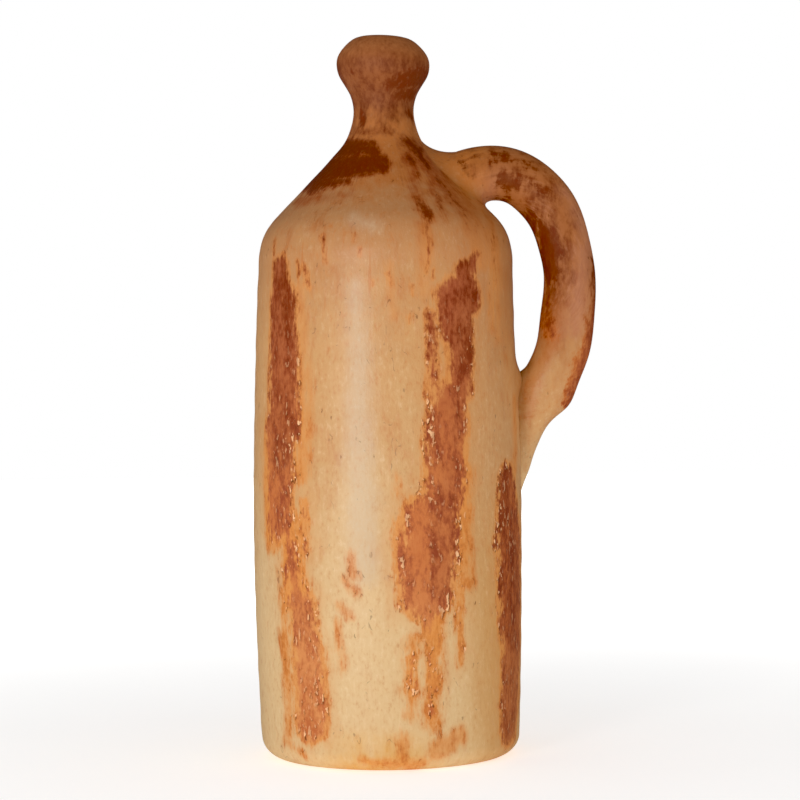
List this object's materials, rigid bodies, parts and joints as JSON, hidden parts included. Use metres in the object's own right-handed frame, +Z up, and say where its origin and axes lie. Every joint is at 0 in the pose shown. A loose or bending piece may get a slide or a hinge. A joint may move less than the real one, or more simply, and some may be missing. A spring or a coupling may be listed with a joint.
{
  "type": "terracotta carafe",
  "caption": "Tall hand-made earthenware carafe with a conical shoulder, narrow neck, rolled lip and thick pulled handle, for pouring water or oil.",
  "frame": {"origin": "centre of the foot, on the table", "axes": "+Z up along the axis of the pot, +X towards the handle"},
  "size_m": [0.1686, 0.1308, 0.3502],
  "materials": {
    "bare_clay": "matte",
    "cream_slip": "burnished satin",
    "brown_slip": "burnished satin",
    "handle_slip": "burnished satin"
  },
  "bodies": {
    "root": {"base_disc": "bare_clay", "body_wall": "cream_slip", "shoulder": "cream_slip", "neck": "brown_slip", "lip": "brown_slip", "handle": "handle_slip", "handle_collar": "handle_slip", "handle_tail": "handle_slip"}
  },
  "joints": []
}
